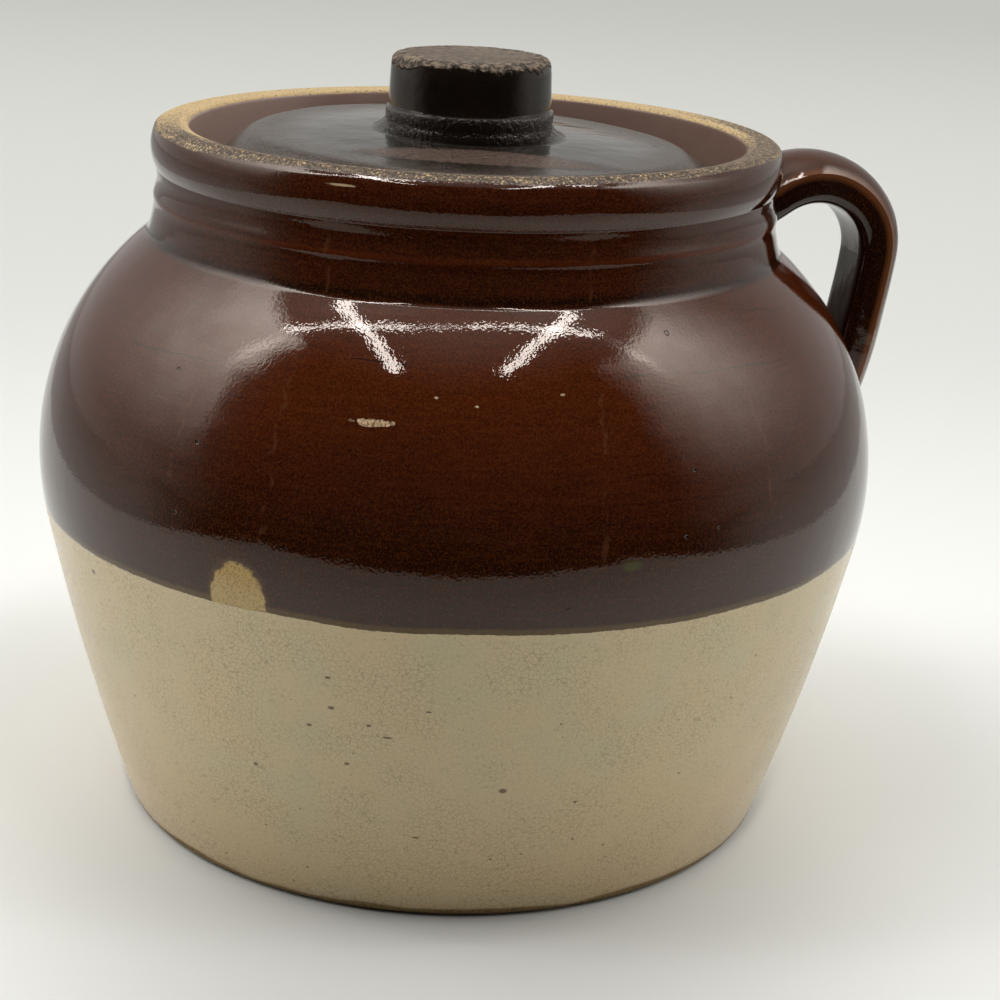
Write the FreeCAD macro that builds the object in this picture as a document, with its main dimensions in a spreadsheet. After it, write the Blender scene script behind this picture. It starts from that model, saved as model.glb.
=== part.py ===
import FreeCAD, Part
import math
import os
import re

import Sketcher
from FreeCAD import Placement, Rotation, Vector

# A stoneware bean pot: a thrown vessel with an ear handle, and a loose lid with a flat knob.
# Millimetres, +Z up. The origin is on the pot's axis, in the plane that its foot stands on,
# and the handle points along +X.

DRIVING_SIZES = [
    # the vessel's outside
    ("pot_height", 191.5, "foot to lip"),
    ("base_radius", 93.0, "underside, to its corner before that is rounded"),
    ("foot_round", 3.5, "rounding of the foot's edge"),
    ("belly_radius", 117.5, "widest place"),
    ("belly_drop", 90.5, "lip down to the widest place"),
    ("wall_round", 750.0, "radius of the long curve from the foot to the belly"),
    ("shoulder_round", 78.0, "radius of the curve over the shoulder"),
    ("crease_drop", 29.1, "lip down to where the neck stands on the shoulder"),
    ("neck_round", 60.0, "radius of the neck's shallow hollow"),
    ("groove_radius", 85.2, "groove under the rim band"),
    ("band_height", 11.3, "lip down to that groove"),
    ("band_round", 11.5, "radius of the convex rim band"),
    ("lip_radius", 85.3, "outside of the lip before it is rounded"),
    ("lip_round", 1.6, "rounding of the lip's outer edge"),
    ("lip_inner_round", 1.0, "rounding of the lip's inner edge"),
    # the vessel's inside
    ("wall", 7.5, "thickness of the thrown wall"),
    ("floor_thickness", 9.0, "thickness of the floor"),
    ("floor_round", 14.0, "inside corner between floor and wall"),
    ("rim_wall", 9.0, "outside of the lip to the recess that the lid drops into"),
    ("ledge_width", 8.3, "the lid's ledge, from that recess in to the clear mouth"),
    ("ledge_depth", 18.0, "lip down to the ledge"),
    ("ledge_round", 1.5, "rounding of the ledge's inner edge"),
    # the handle
    ("handle_overhang", 14.8, "how far the handle stands out past the belly"),
    ("handle_drop", 5.3, "lip down to the highest place of the handle"),
    ("handle_length", 106.2, "that place down to where the lower root's middle ends, inside the wall"),
    ("handle_width", 19.5, "across the strap"),
    ("handle_thickness", 14.0, "through the strap, crown included"),
    ("handle_crown", 5.0, "height of the crowned outer face"),
    ("handle_corner", 3.2, "rounding of the inner face's corners"),
    ("handle_bend", 23.5, "radius of the upper bend, along the strap's middle"),
    ("handle_sweep", 133.0, "radius of the long lower curve, along the middle"),
    ("handle_root_angle", 30.0, "rise of the strap where it leaves the neck, in degrees"),
    ("handle_root_depth", 12.5, "how far inside the groove the upper root's middle begins"),
    # the lid
    ("lid_clearance", 1.2, "radial play of the lid in the gallery"),
    ("lid_edge", 4.0, "height of the lid's plain edge"),
    ("lid_edge_round", 1.2, "rounding of that edge's upper corner"),
    ("lid_slope_width", 18.6, "the lid's edge in to the turn of its top"),
    ("lid_rise", 15.4, "ledge up to that turn"),
    ("lid_crown", 1.5, "that turn up to the flat land that carries the knob"),
    ("lid_slope_round", 6.0, "rounding of that turn"),
    ("lid_wall", 7.0, "thickness of the lid"),
    ("lid_seat_width", 8.5, "flat ring under the lid's edge"),
    ("lid_ceiling_round", 4.0, "rounding inside the lid's hollow"),
    # the knob
    ("knob_collar_radius", 22.9, "root of the collar's two beads"),
    ("knob_bead", 3.6, "height of each bead"),
    ("knob_bead_round", 3.4, "radius of each bead's convex face"),
    ("knob_waist_inset", 0.4, "step from the collar in to the knob's side"),
    ("knob_taper", 0.6, "how much the knob's radius shrinks from there to its top"),
    ("knob_height", 21.7, "lid to the top of the knob"),
    ("knob_round", 2.2, "rounding of the knob's top edge"),
    ("knob_land_margin", 2.0, "flat land left around the knob's collar"),
]

FOLLOWING_SIZES = [
    # heights that are measured from the lip or from the lid's seat
    ("belly_height", "pot_height - belly_drop", "height of the widest place"),
    ("crease_height", "pot_height - crease_drop", "foot of the neck"),
    ("groove_height", "pot_height - band_height", "groove under the rim band"),
    ("ledge_height", "pot_height - ledge_depth", "seat of the lid"),
    ("lid_slope_height", "ledge_height + lid_rise", "turn of the lid's top"),
    ("lid_top_height", "lid_slope_height + lid_crown", "seat of the knob"),
    ("handle_top", "pot_height - handle_drop", "highest place of the handle"),
    ("handle_foot_height", "handle_top - handle_length", "end of the lower root's middle"),
    # radii that are measured from a neighbour's
    ("gallery_radius", "lip_radius - rim_wall", "recess that the lid drops into"),
    ("mouth_radius", "gallery_radius - ledge_width", "clear opening inside the ledge"),
    ("lid_radius", "gallery_radius - lid_clearance", "the lid's edge"),
    ("lid_slope_radius", "lid_radius - lid_slope_width", "turn of the lid's top"),
    ("knob_waist_radius", "knob_collar_radius - knob_waist_inset", "foot of the knob's side"),
    ("knob_top_radius", "knob_waist_radius - knob_taper", "top of the knob's side"),
    ("handle_reach", "belly_radius + handle_overhang", "outside of the handle"),
    ("handle_root_radius", "groove_radius - handle_root_depth", "start of the upper root's middle"),
]

doc = FreeCAD.newDocument("bean_pot")
sizes = doc.addObject("Spreadsheet::Sheet", "Sizes")
sheet_rows = [(alias, str(value), note) for alias, value, note in DRIVING_SIZES]
sheet_rows += [(alias, "=" + formula, note) for alias, formula, note in FOLLOWING_SIZES]
for row, (alias, content, note) in enumerate(sheet_rows, start=1):
    sizes.set("A%d" % row, alias)
    sizes.set("B%d" % row, content)
    sizes.setAlias("B%d" % row, alias)
    sizes.set("C%d" % row, note)
doc.recompute()


def now(alias):
    """A size from the sheet as it stands, to draw a sketch close to its final place."""
    return getattr(sizes, alias)


def bound(formula):
    """The same formula with each size written as the sheet's cell."""
    aliases = "|".join(alias for alias, _, _ in sheet_rows)
    return re.sub(r"\b(%s)\b" % aliases, r"Sizes.\1", formula)


# Sketching: an outline is a closed chain of lines and arcs, whose sizes follow the sheet.

FIRST, LAST, MIDDLE = range(1, 4)


class Outline:
    def __init__(self, body, name, plane_role, start):
        plane = next(p for p in body.Origin.OriginFeatures if p.Role == plane_role)
        self.sketch = body.newObject("Sketcher::SketchObject", name)
        self.sketch.AttachmentSupport = [(plane, "")]
        self.sketch.MapMode = "FlatFace"
        self.pieces = []
        self.here = Vector(*start, 0)

    def rule(self, kind, *places):
        self.sketch.addConstraint(Sketcher.Constraint(kind, *places))

    def add(self, curve, begins, ends, smooth):
        """Add one piece that begins where the last one ended, with or without a corner there."""
        piece = (self.sketch.addGeometry(curve), begins, ends)
        if self.pieces:
            before = self.pieces[-1]
            self.rule("Tangent" if smooth else "Coincident", before[0], before[2], piece[0], begins)
        self.pieces.append(piece)
        return piece

    def line(self, x, y, smooth=False):
        end = Vector(x, y, 0)
        piece = self.add(Part.LineSegment(self.here, end), FIRST, LAST, smooth)
        if abs(end.y - self.here.y) < 1e-6:
            self.rule("Horizontal", piece[0])
        if abs(end.x - self.here.x) < 1e-6:
            self.rule("Vertical", piece[0])
        self.here = end
        return piece

    def arc(self, x, y, radius, left, smooth=False):
        """An arc of less than half a turn, bending left or right on the way to its end."""
        end = Vector(x, y, 0)
        chord = end - self.here
        across = Vector(-chord.y, chord.x, 0).normalize() * (1 if left else -1)
        depth = math.sqrt(max(radius ** 2 - (chord.Length / 2) ** 2, 0))
        centre = (self.here + end) * 0.5 + across * depth
        tips = (self.here, end) if left else (end, self.here)
        angles = [math.atan2(tip.y - centre.y, tip.x - centre.x) for tip in tips]
        curve = Part.ArcOfCircle(Part.Circle(centre, Vector(0, 0, 1), radius), *angles)
        piece = self.add(curve, *((FIRST, LAST) if left else (LAST, FIRST)), smooth)
        self.here = end
        return piece

    def close(self):
        self.rule("Coincident", self.pieces[-1][0], self.pieces[-1][2], self.pieces[0][0], self.pieces[0][1])

    def tie(self, kind, places, drawn, formula):
        index = self.sketch.addConstraint(Sketcher.Constraint(kind, *places, abs(drawn)))
        self.sketch.setExpression("Constraints[%d]" % index, bound(formula))

    def place(self, piece, point, x=None, y=None):
        """Tie a point's distance from the sketch's origin, on the side where it is drawn."""
        drawn = self.sketch.getPoint(piece[0], point)
        for kind, formula, amount in (("DistanceX", x, drawn.x), ("DistanceY", y, drawn.y)):
            if formula:
                ends = (-1, FIRST, piece[0], point) if amount > 0 else (piece[0], point, -1, FIRST)
                self.tie(kind, ends, amount, formula)

    def end(self, piece, x=None, y=None):
        self.place(piece, piece[2], x, y)

    def round(self, piece, formula):
        self.tie("Radius", (piece[0],), self.sketch.Geometry[piece[0]].Radius, formula)

    def on_axis(self, piece, point):
        self.rule("PointOnObject", piece[0], point, -2)


def turned(body, kind, name, outline):
    """The outline revolved about the upright axis, as a Revolution or a Groove."""
    feature = body.newObject("PartDesign::" + kind, name)
    feature.Profile = outline.sketch
    feature.ReferenceAxis = (outline.sketch, ["V_Axis"])
    feature.Angle = 360
    doc.recompute()
    return feature


def ring(feature, radius, height):
    """The feature's level round edge at this radius (None for any) and height."""
    for count, edge in enumerate(feature.Shape.Edges, start=1):
        if not isinstance(edge.Curve, Part.Circle) or abs(edge.Curve.Axis.z) < 0.999:
            continue
        near = radius is None or abs(edge.Curve.Radius - radius) < 0.01
        if near and abs(edge.Curve.Center.z - height) < 0.01:
            return "Edge%d" % count
    raise ValueError("no round edge at height %.1f on %s" % (height, feature.Label))


def rounded(body, name, feature, edge, formula):
    """Fillet one edge of the feature, with the given size."""
    fillet = body.newObject("PartDesign::Fillet", name)
    fillet.Base = (feature, [edge])
    fillet.setExpression("Radius", bound(formula))
    doc.recompute()
    return fillet


# The vessel: a solid of revolution, hollowed, with a gallery cut in the rim for the lid.

vessel = doc.addObject("PartDesign::Body", "vessel")


def vessel_outside():
    shoulder_centre = now("belly_radius") - now("shoulder_round")
    low = math.radians(10)          # the wall meets the shoulder's arc about this far below the belly
    meet_x = shoulder_centre + now("shoulder_round") * math.cos(low)
    meet_y = now("belly_height") - now("shoulder_round") * math.sin(low)
    crease_rise = now("crease_height") - now("belly_height")
    crease_x = shoulder_centre + math.sqrt(now("shoulder_round") ** 2 - crease_rise ** 2)

    out = Outline(vessel, "OutsideOutline", "XZ_Plane", (0, 0))
    base = out.line(now("base_radius"), 0)
    wall = out.arc(meet_x, meet_y, now("wall_round"), left=True)
    shoulder = out.arc(crease_x, now("crease_height"), now("shoulder_round"), left=True, smooth=True)
    neck = out.arc(now("groove_radius"), now("groove_height"), now("neck_round"), left=False)
    band = out.arc(now("lip_radius"), now("pot_height"), now("band_round"), left=True)
    top = out.line(0, now("pot_height"))
    out.line(0, 0)
    out.close()
    out.rule("Coincident", base[0], FIRST, -1, FIRST)
    out.end(base, x="base_radius")
    out.round(wall, "wall_round")
    out.round(shoulder, "shoulder_round")
    out.place(shoulder, MIDDLE, x="belly_radius - shoulder_round", y="belly_height")
    out.end(shoulder, y="crease_height")
    out.round(neck, "neck_round")
    out.end(neck, x="groove_radius", y="groove_height")
    out.round(band, "band_round")
    out.end(band, x="lip_radius", y="pot_height")
    return out, wall, shoulder


def vessel_inside(outside, outer_wall, outer_shoulder):
    """The cavity keeps one wall thickness: its arcs share their centres with the outside's."""
    shoulder_centre = now("belly_radius") - now("shoulder_round")
    inner_round = now("shoulder_round") - now("wall")
    low = math.radians(10)
    meet_x = shoulder_centre + inner_round * math.cos(low)
    meet_y = now("belly_height") - inner_round * math.sin(low)
    mouth_y = now("belly_height") + math.sqrt(inner_round ** 2 - (now("mouth_radius") - shoulder_centre) ** 2)

    out = Outline(vessel, "InsideOutline", "XZ_Plane", (0, now("floor_thickness")))
    for piece in (outer_wall, outer_shoulder):
        out.sketch.addExternal(outside.sketch.Name, "Edge%d" % (piece[0] + 1))
    floor = out.line(now("base_radius") - now("wall"), now("floor_thickness"))
    wall = out.arc(meet_x, meet_y, now("wall_round") - now("wall"), left=True)
    shoulder = out.arc(now("mouth_radius"), mouth_y, inner_round, left=True, smooth=True)
    throat = out.line(now("mouth_radius"), now("ledge_height"))
    out.line(0, now("ledge_height"))
    out.line(0, now("floor_thickness"))
    out.close()
    out.on_axis(floor, FIRST)
    out.place(floor, FIRST, y="floor_thickness")
    out.rule("Coincident", wall[0], MIDDLE, -3, MIDDLE)
    out.rule("Coincident", shoulder[0], MIDDLE, -4, MIDDLE)
    out.round(shoulder, "shoulder_round - wall")
    out.end(shoulder, x="mouth_radius")
    out.end(throat, y="ledge_height")
    return out


def make_vessel():
    outside, outer_wall, outer_shoulder = vessel_outside()
    form = turned(vessel, "Revolution", "OutsideForm", outside)
    hollow = turned(vessel, "Groove", "Hollow", vessel_inside(outside, outer_wall, outer_shoulder))

    rim = Outline(vessel, "GalleryOutline", "XY_Plane", (0, 0))
    circle = rim.sketch.addGeometry(Part.Circle(Vector(0, 0, 0), Vector(0, 0, 1), now("gallery_radius")))
    rim.rule("Coincident", circle, MIDDLE, -1, FIRST)
    rim.tie("Radius", (circle,), now("gallery_radius"), "gallery_radius")
    rim.sketch.setExpression("AttachmentOffset.Base.z", bound("pot_height"))
    gallery = vessel.newObject("PartDesign::Pocket", "Gallery")
    gallery.Profile = rim.sketch
    gallery.setExpression("Length", bound("pot_height - ledge_height"))
    doc.recompute()
    if not gallery.Shape.Volume < hollow.Shape.Volume:
        raise ValueError("the gallery cuts nothing")

    step = rounded(vessel, "FloorCorner", gallery, ring(gallery, None, now("floor_thickness")), "floor_round")
    step = rounded(vessel, "FootEdge", step, ring(step, now("base_radius"), 0), "foot_round")
    step = rounded(vessel, "LipEdge", step, ring(step, now("lip_radius"), now("pot_height")), "lip_round")
    step = rounded(vessel, "LipInnerEdge", step, ring(step, now("gallery_radius"), now("pot_height")),
                   "lip_inner_round")
    rounded(vessel, "LedgeEdge", step, ring(step, now("mouth_radius"), now("ledge_height")), "ledge_round")
    return form


# The handle: one strap bent into an ear, cut to the vessel's outside where it is luted on.

def make_handle(vessel_form):
    strap = doc.addObject("PartDesign::Body", "strap")
    half = now("handle_thickness") / 2
    bend, sweep = now("handle_bend"), now("handle_sweep")
    rise = math.radians(now("handle_root_angle"))
    centre_x = now("handle_reach") - half - bend
    centre_y = now("handle_top") - half - bend
    leave_x = centre_x - bend * math.sin(rise)
    leave_y = centre_y + bend * math.cos(rise)
    root_x = now("handle_root_radius")
    root_y = leave_y - (leave_x - root_x) * math.tan(rise)
    foot_drop = centre_y - now("handle_foot_height")
    foot_x = centre_x + bend - sweep + math.sqrt(sweep ** 2 - foot_drop ** 2)

    path = Outline(strap, "StrapPath", "XZ_Plane", (root_x, root_y))
    root = path.line(leave_x, leave_y)
    upper = path.arc(centre_x + bend, centre_y, bend, left=False, smooth=True)
    lower = path.arc(foot_x, now("handle_foot_height"), sweep, left=False, smooth=True)
    middle_x = "handle_reach - handle_thickness / 2 - handle_bend"
    middle_y = "handle_top - handle_thickness / 2 - handle_bend"
    path.tie("Angle", (root[0],), rise, "handle_root_angle * 1 deg")
    path.place(root, FIRST, x="handle_root_radius")
    path.round(upper, "handle_bend")
    path.place(upper, MIDDLE, x=middle_x, y=middle_y)
    path.round(lower, "handle_sweep")
    path.place(lower, MIDDLE, y=middle_y)
    path.end(lower, y="handle_foot_height")

    # The strap's section: a crowned outer face, and an inner face with rounded corners.
    side = now("handle_width") / 2
    arris = half - now("handle_crown")
    corner = now("handle_corner")
    crown_round = (side ** 2 + now("handle_crown") ** 2) / (2 * now("handle_crown"))
    cut = Outline(strap, "StrapSection", "YZ_Plane", (side, arris))
    crown = cut.arc(-side, arris, crown_round, left=True)
    far_side = cut.line(-side, corner - half)
    far_corner = cut.arc(corner - side, -half, corner, left=True, smooth=True)
    inner = cut.line(side - corner, -half, smooth=True)
    near_corner = cut.arc(side, corner - half, corner, left=True, smooth=True)
    cut.line(side, arris, smooth=True)
    cut.close()
    cut.round(crown, "((handle_width / 2) ^ 2 + handle_crown ^ 2) / (2 * handle_crown)")
    cut.place(crown, FIRST, x="handle_width / 2", y="handle_thickness / 2 - handle_crown")
    cut.place(crown, LAST, x="handle_width / 2", y="handle_thickness / 2 - handle_crown")
    cut.place(inner, FIRST, y="handle_thickness / 2")
    cut.round(far_corner, "handle_corner")
    cut.round(near_corner, "handle_corner")
    tilt = "handle_root_angle * 1 deg"
    cut.sketch.AttachmentOffset = Placement(
        Vector(0, root_y, root_x), Rotation(Vector(1, 0, 0), -now("handle_root_angle")))
    leave = middle_x + " - handle_bend * sin(" + tilt + ")"
    cut.sketch.setExpression("AttachmentOffset.Base.y", bound(
        middle_y + " + handle_bend * cos(" + tilt + ") - (" + leave + " - handle_root_radius) * tan(" + tilt + ")"))
    cut.sketch.setExpression("AttachmentOffset.Base.z", bound("handle_root_radius"))
    doc.recompute()

    pipe = strap.newObject("PartDesign::AdditivePipe", "StrapForm")
    pipe.Profile = cut.sketch
    pipe.Spine = (path.sketch, [])
    doc.recompute()

    handle = doc.addObject("Part::Cut", "handle")
    handle.Base = strap
    handle.Tool = vessel_form
    doc.recompute()
    return handle


# The lid: a low hollow frustum that rests on the ledge, a little smaller than the gallery.

def make_lid():
    lid = doc.addObject("PartDesign::Body", "lid")
    lid_radius = now("lid_radius")
    land = now("knob_collar_radius") + now("knob_land_margin")
    seat = now("ledge_height")
    edge_top = seat + now("lid_edge")
    ceiling = now("lid_slope_height") - now("lid_wall")
    run = (lid_radius - now("lid_slope_radius")) / (now("lid_slope_height") - edge_top)
    inner_x = lid_radius - now("lid_seat_width")

    out = Outline(lid, "LidOutline", "XZ_Plane", (0, ceiling))
    under = out.line(inner_x - run * (ceiling - seat), ceiling)
    inner_slope = out.line(inner_x, seat)
    ring_under = out.line(lid_radius, seat)
    edge = out.line(lid_radius, edge_top)
    slope = out.line(now("lid_slope_radius"), now("lid_slope_height"))
    brow = out.line(land, now("lid_top_height"))
    top = out.line(0, now("lid_top_height"))
    out.line(0, ceiling)
    out.close()
    out.on_axis(under, FIRST)
    out.place(under, FIRST, y="lid_slope_height - lid_wall")
    out.rule("Parallel", inner_slope[0], slope[0])
    out.end(inner_slope, x="lid_radius - lid_seat_width", y="ledge_height")
    out.end(ring_under, x="lid_radius")
    out.end(edge, y="ledge_height + lid_edge")
    out.end(slope, x="lid_slope_radius", y="lid_slope_height")
    out.end(brow, x="knob_collar_radius + knob_land_margin", y="lid_top_height")
    form = turned(lid, "Revolution", "LidForm", out)

    step = rounded(lid, "Brow", form, ring(form, now("lid_slope_radius"), now("lid_slope_height")),
                   "lid_slope_round")
    step = rounded(lid, "EdgeCorner", step, ring(step, lid_radius, edge_top), "lid_edge_round")
    rounded(lid, "CeilingCorner", step, ring(step, None, ceiling), "lid_ceiling_round")
    return lid


# The knob: a flat-topped button on a collar of two beads, standing on the lid's land.

def make_knob():
    knob = doc.addObject("PartDesign::Body", "knob")
    foot = now("lid_top_height")
    collar = now("knob_collar_radius")
    bead, bead_round = now("knob_bead"), now("knob_bead_round")
    top = foot + now("knob_height")

    out = Outline(knob, "KnobOutline", "XZ_Plane", (0, foot))
    base = out.line(collar, foot)
    lower = out.arc(collar, foot + bead, bead_round, left=True)
    upper = out.arc(collar, foot + 2 * bead, bead_round, left=True)
    shelf = out.line(now("knob_waist_radius"), foot + 2 * bead)
    side = out.line(now("knob_top_radius"), top)
    out.line(0, top)
    out.line(0, foot)
    out.close()
    out.on_axis(base, FIRST)
    out.place(base, FIRST, y="lid_top_height")
    out.end(base, x="knob_collar_radius")
    for piece, height in ((lower, "knob_bead"), (upper, "2 * knob_bead")):
        out.round(piece, "knob_bead_round")
        out.end(piece, x="knob_collar_radius", y="lid_top_height + " + height)
    out.end(shelf, x="knob_waist_radius")
    out.end(side, x="knob_top_radius", y="lid_top_height + knob_height")
    form = turned(knob, "Revolution", "KnobForm", out)
    rounded(knob, "TopEdge", form, ring(form, now("knob_top_radius"), top), "knob_round")
    return knob


vessel_form = make_vessel()
pieces = [vessel, make_handle(vessel_form), make_lid(), make_knob()]
doc.recompute()

for item in doc.Objects:
    if "Invalid" in item.State or "Error" in item.State:
        raise RuntimeError("%s is in state %s" % (item.Label, item.State))
    if item.TypeId == "Sketcher::SketchObject" and not item.FullyConstrained:
        raise RuntimeError("%s is not fully constrained" % item.Label)
for piece in pieces:
    if piece.Shape.isNull() or not piece.Shape.isValid():
        raise RuntimeError("%s has no valid shape" % piece.Label)

os.makedirs("parts", exist_ok=True)
for piece in pieces:
    piece.Shape.exportStep("parts/%s.step" % piece.Label)
    print("%s: %.1f cm3, %d solid" % (piece.Label, piece.Shape.Volume / 1000, len(piece.Shape.Solids)))
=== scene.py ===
import math

import bmesh
import bpy
from mathutils import Matrix, Vector, noise


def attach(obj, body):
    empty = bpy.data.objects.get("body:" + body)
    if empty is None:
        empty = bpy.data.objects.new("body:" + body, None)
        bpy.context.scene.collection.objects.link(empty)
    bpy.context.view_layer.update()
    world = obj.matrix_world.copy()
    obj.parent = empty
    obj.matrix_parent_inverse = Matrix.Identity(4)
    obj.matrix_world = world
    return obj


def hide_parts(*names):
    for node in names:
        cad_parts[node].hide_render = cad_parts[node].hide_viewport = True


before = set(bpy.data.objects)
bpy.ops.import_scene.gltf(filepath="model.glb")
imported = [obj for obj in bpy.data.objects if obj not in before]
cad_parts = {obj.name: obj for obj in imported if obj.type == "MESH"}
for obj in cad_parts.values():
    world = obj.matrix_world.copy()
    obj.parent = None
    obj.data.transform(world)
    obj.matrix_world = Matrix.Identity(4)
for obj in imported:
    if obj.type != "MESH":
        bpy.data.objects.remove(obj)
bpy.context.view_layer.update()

# A stoneware bean pot: brown glaze above, cream glaze below, a loose lid with a button knob,
# and an ear handle. Metres, +Z up, the pot's axis on the origin, the handle towards +X.

MM = 0.001
DEGREES = 180.0 / math.pi

# The pot's outside, as it is turned.
POT_HEIGHT = 191.5 * MM
BASE_RADIUS = 93.0 * MM
BELLY_RADIUS, BELLY_HEIGHT = 117.5 * MM, 101.0 * MM
WALL_ROUND, SHOULDER_ROUND = 750.0 * MM, 78.0 * MM
CREASE_HEIGHT = 162.4 * MM
NECK_ROUND, BAND_ROUND = 60.0 * MM, 11.5 * MM
GROOVE_RADIUS, GROOVE_HEIGHT = 85.2 * MM, 180.2 * MM
LIP_RADIUS = 85.3 * MM
FOOT_ROUND, LIP_ROUND, LIP_INNER_ROUND = 3.5 * MM, 1.6 * MM, 1.4 * MM
CREASE_ROUND, GROOVE_ROUND = 4.0 * MM, 0.8 * MM

# How the hand and the fire left it: not quite round, a soft ridge on the neck, a higher lip in front.
WANDER, LIP_RISE = 0.30 * MM, 1.7 * MM
NECK_RIDGE_HEIGHT, NECK_RIDGE, NECK_DIP = 172.8 * MM, 0.55 * MM, 0.25 * MM

# Its inside, with the gallery that the lid drops into.
WALL, FLOOR, FLOOR_ROUND = 7.5 * MM, 9.0 * MM, 14.0 * MM
GALLERY_RADIUS, MOUTH_RADIUS, LEDGE_HEIGHT = 76.3 * MM, 68.0 * MM, 173.5 * MM

# The handle.
HANDLE_REACH, HANDLE_TOP = 132.3 * MM, 186.2 * MM
HANDLE_WIDTH, HANDLE_THICKNESS, HANDLE_CROWN, HANDLE_CORNER = 19.5 * MM, 14.0 * MM, 5.0 * MM, 3.2 * MM
HANDLE_BEND, HANDLE_SWEEP = 23.5 * MM, 133.0 * MM
HANDLE_RISE = math.radians(30.0)
HANDLE_ROOT_RADIUS, HANDLE_FOOT_HEIGHT, HANDLE_INSET = 80.5 * MM, 80.0 * MM, 3.5 * MM
HANDLE_ROOT_SPREAD, HANDLE_FOOT_SPREAD, HANDLE_DRAWN_IN = 0.34, 0.16, 2.4 * MM

# The lid and its knob.
LID_RADIUS, LID_EDGE = 75.1 * MM, 4.0 * MM
LID_TURN_RADIUS, LID_TURN_HEIGHT, LID_TURN = 59.5 * MM, 189.4 * MM, 7.0 * MM
LID_TOP_HEIGHT, LID_WALL, LID_SEAT_WIDTH = 190.4 * MM, 7.0 * MM, 8.5 * MM
LID_CROWN, LID_SLUMP, LID_TILT = 0.6 * MM, 0.5 * MM, 0.021
GLAZE_FILLET, GLAZE_FILLET_REACH = 4.2 * MM, 5.2 * MM
COLLAR_RADIUS, BEAD, BEAD_ROUND = 22.9 * MM, 3.6 * MM, 5.2 * MM
WAIST_RADIUS, KNOB_TOP_RADIUS, KNOB_TOP, KNOB_ROUND = 22.5 * MM, 21.9 * MM, 212.1 * MM, 2.2 * MM

# The glazes: the line round the belly, thin marks, the sandiest side of the lip, and the knob's painted
# reflection, an oval in front of the knob with a duller finish, placed as seen from the camera's side.
GLAZE_LINE, RUN_WIDTH, CRACK_WIDTH = 88.9 * MM, 0.75 * MM, 0.22 * MM
SANDIEST_BEARING = 95.0
KNOB_REFLECTION_RIGHT, KNOB_REFLECTION_IN_FRONT = 4.0 * MM, 38.0 * MM
KNOB_REFLECTION_HALF_WIDTH, KNOB_REFLECTION_HALF_DEPTH = 34.0 * MM, 8.5 * MM

# The camera stands this far round from straight in front of the pot.
SIGHT_TURN = math.radians(-15.0)


# Marks on the pot. Bearings are in degrees from +X, heights and sizes in millimetres.

RUNS = (  # bearing, top, bottom, lean in degrees per millimetre
    (-128.0, 146.0, 107.0, 0.0), (-127.4, 178.0, 163.0, 0.0), (-83.4, 176.0, 163.5, 0.05),
    (-86.2, 145.0, 106.0, 0.02), (-141.5, 139.0, 118.0, 0.05), (-62.0, 140.0, 112.0, 0.0))
CRACKS = (  # height, first bearing, last bearing, lean in millimetres per degree
    (148.6, -82.0, -52.0, -0.08), (158.2, -55.0, -42.0, -0.25), (143.8, -158.0, -139.0, 0.10),
    (150.5, -120.0, -112.0, 0.0))
PITS = (  # bearing, height, size
    (-145.7, 141.9, 1.1), (-138.8, 127.5, 1.2), (-140.5, 109.8, 0.9), (-72.7, 156.2, 1.2),
    (-71.0, 112.0, 0.9), (-75.9, 111.2, 1.0), (-74.1, 126.7, 1.0), (-91.0, 96.0, 1.0))
STAINS = (  # bearing, height, across, tall
    (-119.6, 64.9, 1.6, 1.0), (-122.8, 58.7, 1.5, 0.8), (-119.8, 73.7, 1.4, 0.8), (-114.7, 61.0, 1.3, 0.8),
    (-112.3, 57.9, 2.6, 0.6), (-131.8, 42.6, 1.3, 1.0), (-117.9, 48.5, 1.3, 0.9), (-96.7, 42.7, 2.0, 1.4),
    (-158.4, 83.4, 1.8, 1.3), (-86.0, 37.5, 1.1, 0.8), (-108.5, 27.0, 1.6, 0.6), (-107.0, 66.5, 1.5, 0.5))
CHIP, CHIP_SPECKS = (-115.5, 137.9, 9.8, 1.5), ((-91.1, 145.1), (-102.5, 142.6), (-107.8, 144.1))
WIPED_SPOT, WIPED_RIND = (-131.2, 90.6, 15.6, 20.4), (-131.2, 90.8, 17.4, 22.4)
GREEN_DROP, BAND_NICK = (-83.2, 105.6, 5.2, 2.6), (-125.5, 189.3, 7.0, 0.55)


def from_sight(x, y):
    """How far a place lies to the right and ahead, as seen from the camera's side."""
    cosine, sine = math.cos(SIGHT_TURN), math.sin(SIGHT_TURN)
    return x * cosine + y * sine, y * cosine - x * sine


# Shader maths: a signal is one socket, and a sum of signals adds the node that works it out.

class Signal:
    def __init__(self, board, socket):
        self.board, self.socket = board, socket

    def maths(self, operation, *others):
        return self.board.node("ShaderNodeMath", {"operation": operation}, dict(enumerate((self,) + others)))

    def from_left(self, operation, other):
        return self.board.node("ShaderNodeMath", {"operation": operation}, {0: other, 1: self})

    def __add__(self, other): return self.maths("ADD", other)
    def __radd__(self, other): return self.from_left("ADD", other)
    def __sub__(self, other): return self.maths("SUBTRACT", other)
    def __rsub__(self, other): return self.from_left("SUBTRACT", other)
    def __mul__(self, other): return self.maths("MULTIPLY", other)
    def __rmul__(self, other): return self.from_left("MULTIPLY", other)
    def __truediv__(self, other): return self.maths("DIVIDE", other)
    def __pow__(self, other): return self.maths("POWER", other)
    def __abs__(self): return self.maths("ABSOLUTE")
    def most(self, other): return self.maths("MAXIMUM", other)


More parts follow.
